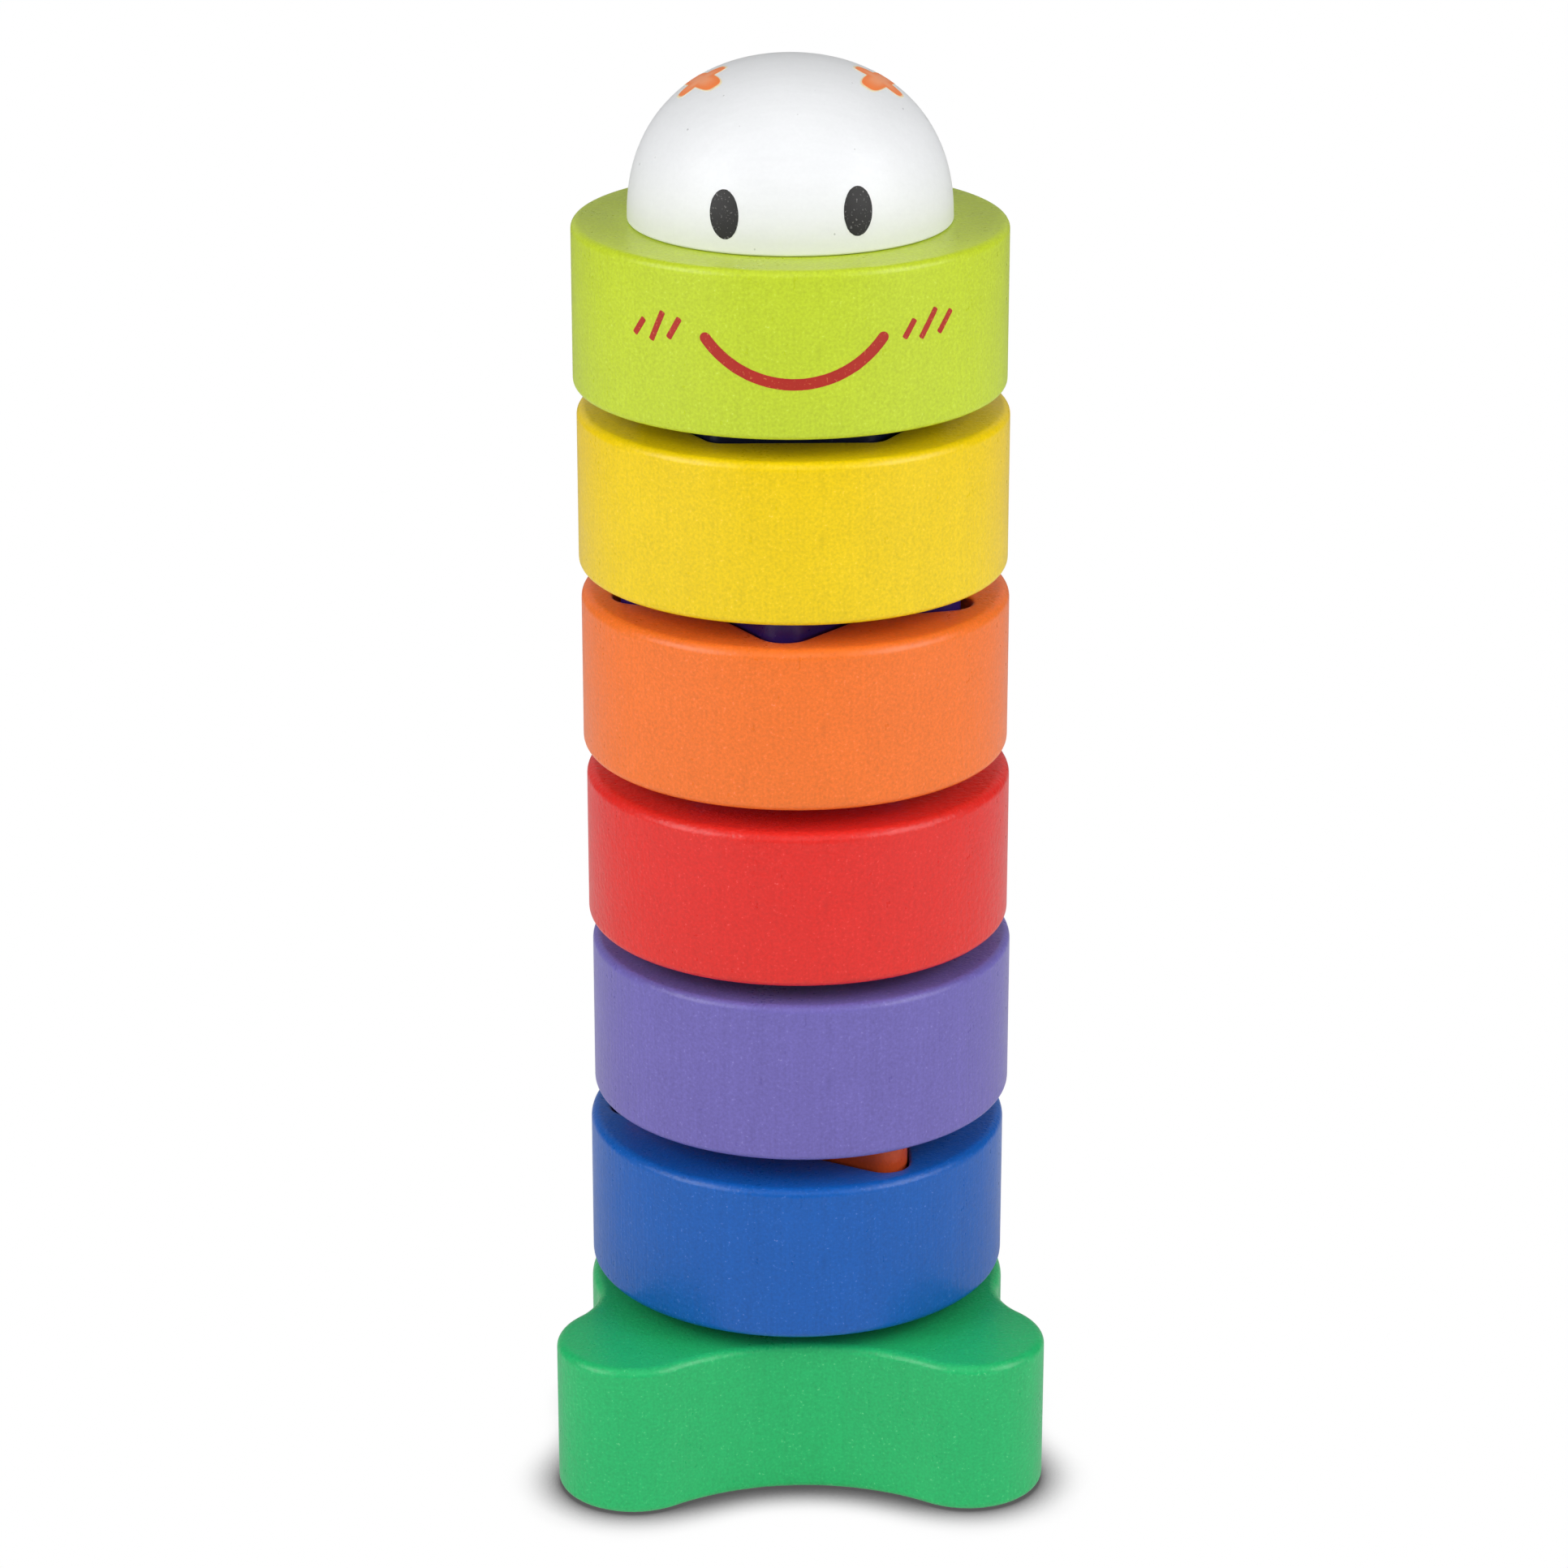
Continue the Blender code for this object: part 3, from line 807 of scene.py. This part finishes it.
def ink_film(name, sheet, flat_of, place, material, slot="paint_red"):
    """A film of ink laid thinly on the head: flat_of turns the unit sheet's points into distances on it."""
    bm, reach = sheet
    across = bm.loops.layers.uv.new("film")
    for face in bm.faces:
        for corner in face.loops:
            u, v = corner.vert.co.xy
            corner[across].uv = (reach(u, v), math.atan2(v, u) / math.tau)
    raised = bmesh.ops.extrude_face_region(bm, geom=list(bm.faces), use_keep_orig=True)["geom"]
    bmesh.ops.translate(bm, verts=[item for item in raised if isinstance(item, bmesh.types.BMVert)],
                        vec=(0.0, 0.0, 1.0))
    for vert in bm.verts:
        lift = PRINT_FILM if vert.co.z > 0.5 else -PRINT_ROOT
        vert.co = place(*flat_of(vert.co.x, vert.co.y), lift)
    bmesh.ops.remove_doubles(bm, verts=bm.verts, dist=MERGE)
    piece = piece_from(bm, name, material, slot, "head")
    piece.data.set_sharp_from_angle(angle=PRINT_CREASE)


def round_sheet(segments, rings):
    """A unit disc of rings round a centre."""
    bm = bmesh.new()
    chain = [bm.verts.new((part, 0.0, 0.0)) for part in rings]
    edges = [bm.edges.new(pair) for pair in zip(chain, chain[1:])]
    bmesh.ops.spin(bm, geom=chain + edges, cent=(0.0, 0.0, 0.0), axis=(0.0, 0.0, 1.0),
                   angle=math.tau, steps=segments, use_merge=True)
    bmesh.ops.remove_doubles(bm, verts=bm.verts, dist=1e-5)
    return bm, math.hypot


def long_sheet(columns, rows):
    """A unit square of columns by rows."""
    bm = bmesh.new()
    bmesh.ops.create_grid(bm, x_segments=columns, y_segments=rows, size=1.0)
    return bm, lambda u, v: max(abs(u), abs(v))


def ragged(u, v, seed):
    """The slight waviness of a printed edge."""
    return PRINT_WOBBLE * value_noise.noise(Vector((u * 9.0, v * 9.0, seed)))


def stroke(half_length, half_width, cap, spine, seed):
    """A stroke of ink along a spine; its ends are rounded over a length of cap."""

    def flat_of(u, v):
        along = half_length * math.sin(u * math.pi / 2.0)
        past = max(abs(along) - (half_length - cap), 0.0) / cap
        width = half_width * max(1.0 - past * past, 0.0) ** 0.5
        point, sideways = spine(along)
        return point + sideways * (v * width + abs(v) * ragged(u * half_length / MM, v, seed))

    return flat_of


def straight(start, end):
    """A straight spine between two points."""
    middle = (start + end) / 2.0
    along = (end - start).normalized()
    sideways = Vector((-along.y, along.x))
    return lambda length: (middle + along * length, sideways)


def sagging(radius):
    """A spine that sags in an arc round a centre above it."""

    def spine(length):
        turn = length / radius
        outward = Vector((math.sin(turn), -math.cos(turn)))
        return outward * radius, outward

    return spine


def egg(half_width, half_height, seed):
    """An upright oval patch."""

    def flat_of(u, v):
        wave = 1.0 + ragged(u, v, seed) / half_width
        return Vector((u * half_width * wave, v * half_height * wave))

    return flat_of


def four_petals(reach_across, reach_up, half_width, power):
    """A small flower of four blunt petals: two crossed bars with rounded ends."""

    def flat_of(u, v):
        part = math.hypot(u, v)
        if part < 1e-6:
            return Vector((0.0, 0.0))
        across, up = abs(u) / part, abs(v) / part
        bars = [((first / reach) ** power + (second / half_width) ** power) ** (-1.0 / power)
                for first, second, reach in ((across, up, reach_across), (up, across, reach_up))]
        return Vector((u, v)) * max(bars)

    return flat_of


def build_face():
    """The printed eyes, smile and cheek strokes, and a small flower on each side of the dome."""
    across = middle_of("head_ring").x
    ring_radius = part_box("head_ring")[1].x - across
    black = printed_ink("black_ink", INK_BLACK, UNDER_BLACK, 0.30)
    red = printed_ink("red_ink", INK_RED, UNDER_RED, 0.35)
    for seed, (name, azimuth, height, lean) in enumerate(EYES):
        ink_film(name, round_sheet(EYE_POINTS, EYE_RINGS), egg(EYE_HALF_WIDTH, EYE_HALF_HEIGHT, seed),
                 on_dome(across, azimuth, height, lean), black, slot="paint_navy")

    half_length = SMILE_RADIUS * math.radians(SMILE_HALF_TURN) + SMILE_HALF_STROKE
    ink_film("smile_print", long_sheet(*SMILE_GRID),
             stroke(half_length, SMILE_HALF_STROKE, SMILE_HALF_STROKE, sagging(SMILE_RADIUS), 7.0),
             on_ring(across, (math.radians(SMILE_TURN) * ring_radius, SMILE_LOWEST + SMILE_RADIUS)), red)

    for seed, (name, azimuth_low, low, azimuth_high, high) in enumerate(CHEEKS):
        start = Vector((math.radians(azimuth_low), low)) * ring_radius
        end = Vector((math.radians(azimuth_high), high)) * ring_radius
        half_length = (end - start).length / 2.0 + CHEEK_OVERRUN
        ink_film(name, long_sheet(*CHEEK_GRID),
                 stroke(half_length, CHEEK_HALF_STROKE, CHEEK_CAP, straight(start, end), 10.0 + seed),
                 on_ring(across, (0.0, 0.0)), red)

    orange = flower_ink()
    for name, azimuth, height, lean in FLOWERS:
        ink_film(name, round_sheet(PETAL_POINTS, PETAL_RINGS),
                 four_petals(PETAL_REACH_ACROSS, PETAL_REACH_UP, PETAL_HALF_WIDTH, PETAL_POWER),
                 on_dome(across, azimuth, height, lean), orange, slot="paint_orange")


build_base()
build_blocks()
build_head()
build_face()

beech = bare_beech()
for node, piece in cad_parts.items():
    if node.endswith("dowel"):
        piece.data.materials.clear()
        piece.data.materials.append(beech)


# ---------------------------------------------------------------- studio

def add_floor():
    """A wide white studio floor, evenly lit, with only a narrow shadow where the figure touches it."""
    bm = bmesh.new()
    bmesh.ops.create_circle(bm, segments=96, radius=FLOOR_RADIUS, cap_ends=True)
    mesh = bpy.data.meshes.new("studio_floor")
    bm.to_mesh(mesh)
    bm.free()
    floor = bpy.data.objects.new("studio_floor", mesh)
    bpy.context.scene.collection.objects.link(floor)
    recipe = Recipe("studio_floor")
    tone = recipe.noise(recipe.place((0.0, 0.0, 0.0)), 3.0) * 0.01 + 0.93
    material = recipe.finish({"Base Color": recipe.shade((1.0, 1.0, 1.0), tone)},
                             {"Roughness": 0.9, "Specular IOR Level": 0.1})
    openness = recipe.add("ShaderNodeAmbientOcclusion", {"samples": 16}, {"Distance": SHADOW_REACH}, 1)
    shadow = recipe.between(openness, *SHADOW_STEP)
    light = recipe.shade((1.0, 1.0, 1.0), 1.0 - shadow * SHADOW_DEPTH)
    glow = recipe.add("ShaderNodeEmission", inputs={"Color": light})
    seen = recipe.add("ShaderNodeLightPath", output=0)
    mixed = recipe.add("ShaderNodeMixShader", inputs=[seen])
    mixer = mixed.socket.node
    recipe.tree.links.new(recipe.shader.outputs[0], mixer.inputs[1])
    recipe.tree.links.new(glow.socket, mixer.inputs[2])
    recipe.tree.links.new(mixer.outputs[0], recipe.tree.nodes["Material Output"].inputs["Surface"])
    mesh.materials.append(material)


def soft_box(name, azimuth, elevation, power):
    """A rectangular soft light aimed at the figure; azimuth 0 is in front of it, positive towards +X."""
    turn, rise = math.radians(azimuth), math.radians(elevation)
    back = Vector((math.sin(turn) * math.cos(rise), -math.cos(turn) * math.cos(rise), math.sin(rise)))
    data = bpy.data.lights.new(name, "AREA")
    data.shape = "RECTANGLE"
    data.size, data.size_y = SOFT_BOX_SIZE
    data.energy = power
    light = bpy.data.objects.new(name, data)
    light.location = Vector((0.0, 0.0, SOFT_BOX_AIM)) + back * SOFT_BOX_DISTANCE
    light.rotation_euler = back.to_track_quat("Z", "Y").to_euler()
    bpy.context.scene.collection.objects.link(light)


def faint_room():
    """A white room, faint in what it lights: brightest behind the figure, dim in front, dark above."""
    world = bpy.data.worlds.new("studio")
    world.use_nodes = True
    tree = world.node_tree
    sky = tree.nodes["Background"]
    where = tree.nodes.new("ShaderNodeTexCoord")
    parts = tree.nodes.new("ShaderNodeSeparateXYZ")
    tree.links.new(where.outputs["Generated"], parts.inputs[0])

    def step(axis, start, end, low, high):
        node = tree.nodes.new("ShaderNodeMapRange")
        node.interpolation_type = "SMOOTHSTEP"
        for key, value in zip(("From Min", "From Max", "To Min", "To Max"), (start, end, low, high)):
            node.inputs[key].default_value = value
        tree.links.new(parts.outputs[axis], node.inputs["Value"])
        return node.outputs[0]

    def combine(operation, first, second):
        node = tree.nodes.new("ShaderNodeMath")
        node.operation = operation
        tree.links.new(first, node.inputs[0])
        tree.links.new(second, node.inputs[1])
        return node.outputs[0]

    around = combine("ADD", step("Y", -0.3, 0.6, ROOM_FRONT, 0.0), step("Y", 0.65, 0.9, 0.0, ROOM_REAR))
    room = combine("MULTIPLY", around, step("Z", 0.5, 0.8, 1.0, 0.0))
    seen = tree.nodes.new("ShaderNodeLightPath").outputs["Is Camera Ray"]
    tree.links.new(combine("MAXIMUM", room, seen), sky.inputs["Strength"])
    sky.inputs["Color"].default_value = (1.0, 1.0, 1.0, 1.0)
    bpy.context.scene.world = world


def add_studio():
    """A faint room, a row of soft boxes on each side, one in front above the camera, and the camera."""
    faint_room()
    for name, azimuth, elevation, power in SOFT_BOXES:
        soft_box(f"left_{name}_soft_box", -azimuth, elevation, power)
        soft_box(f"right_{name}_soft_box", azimuth, elevation, power)
    soft_box("front_soft_box", *FRONT_BOX)
    soft_box("top_soft_box", *TOP_BOX)

    data = bpy.data.cameras.new("camera")
    data.lens = CAMERA_LENS
    data.sensor_width = CAMERA_SENSOR
    camera = bpy.data.objects.new("camera", data)
    camera.location = CAMERA_PLACE
    camera.rotation_euler = (math.radians(90.0 - CAMERA_PITCH), 0.0, math.radians(CAMERA_YAW))
    bpy.context.scene.collection.objects.link(camera)
    bpy.context.scene.camera = camera
    bpy.context.scene.view_settings.view_transform = "Standard"


add_floor()
add_studio()
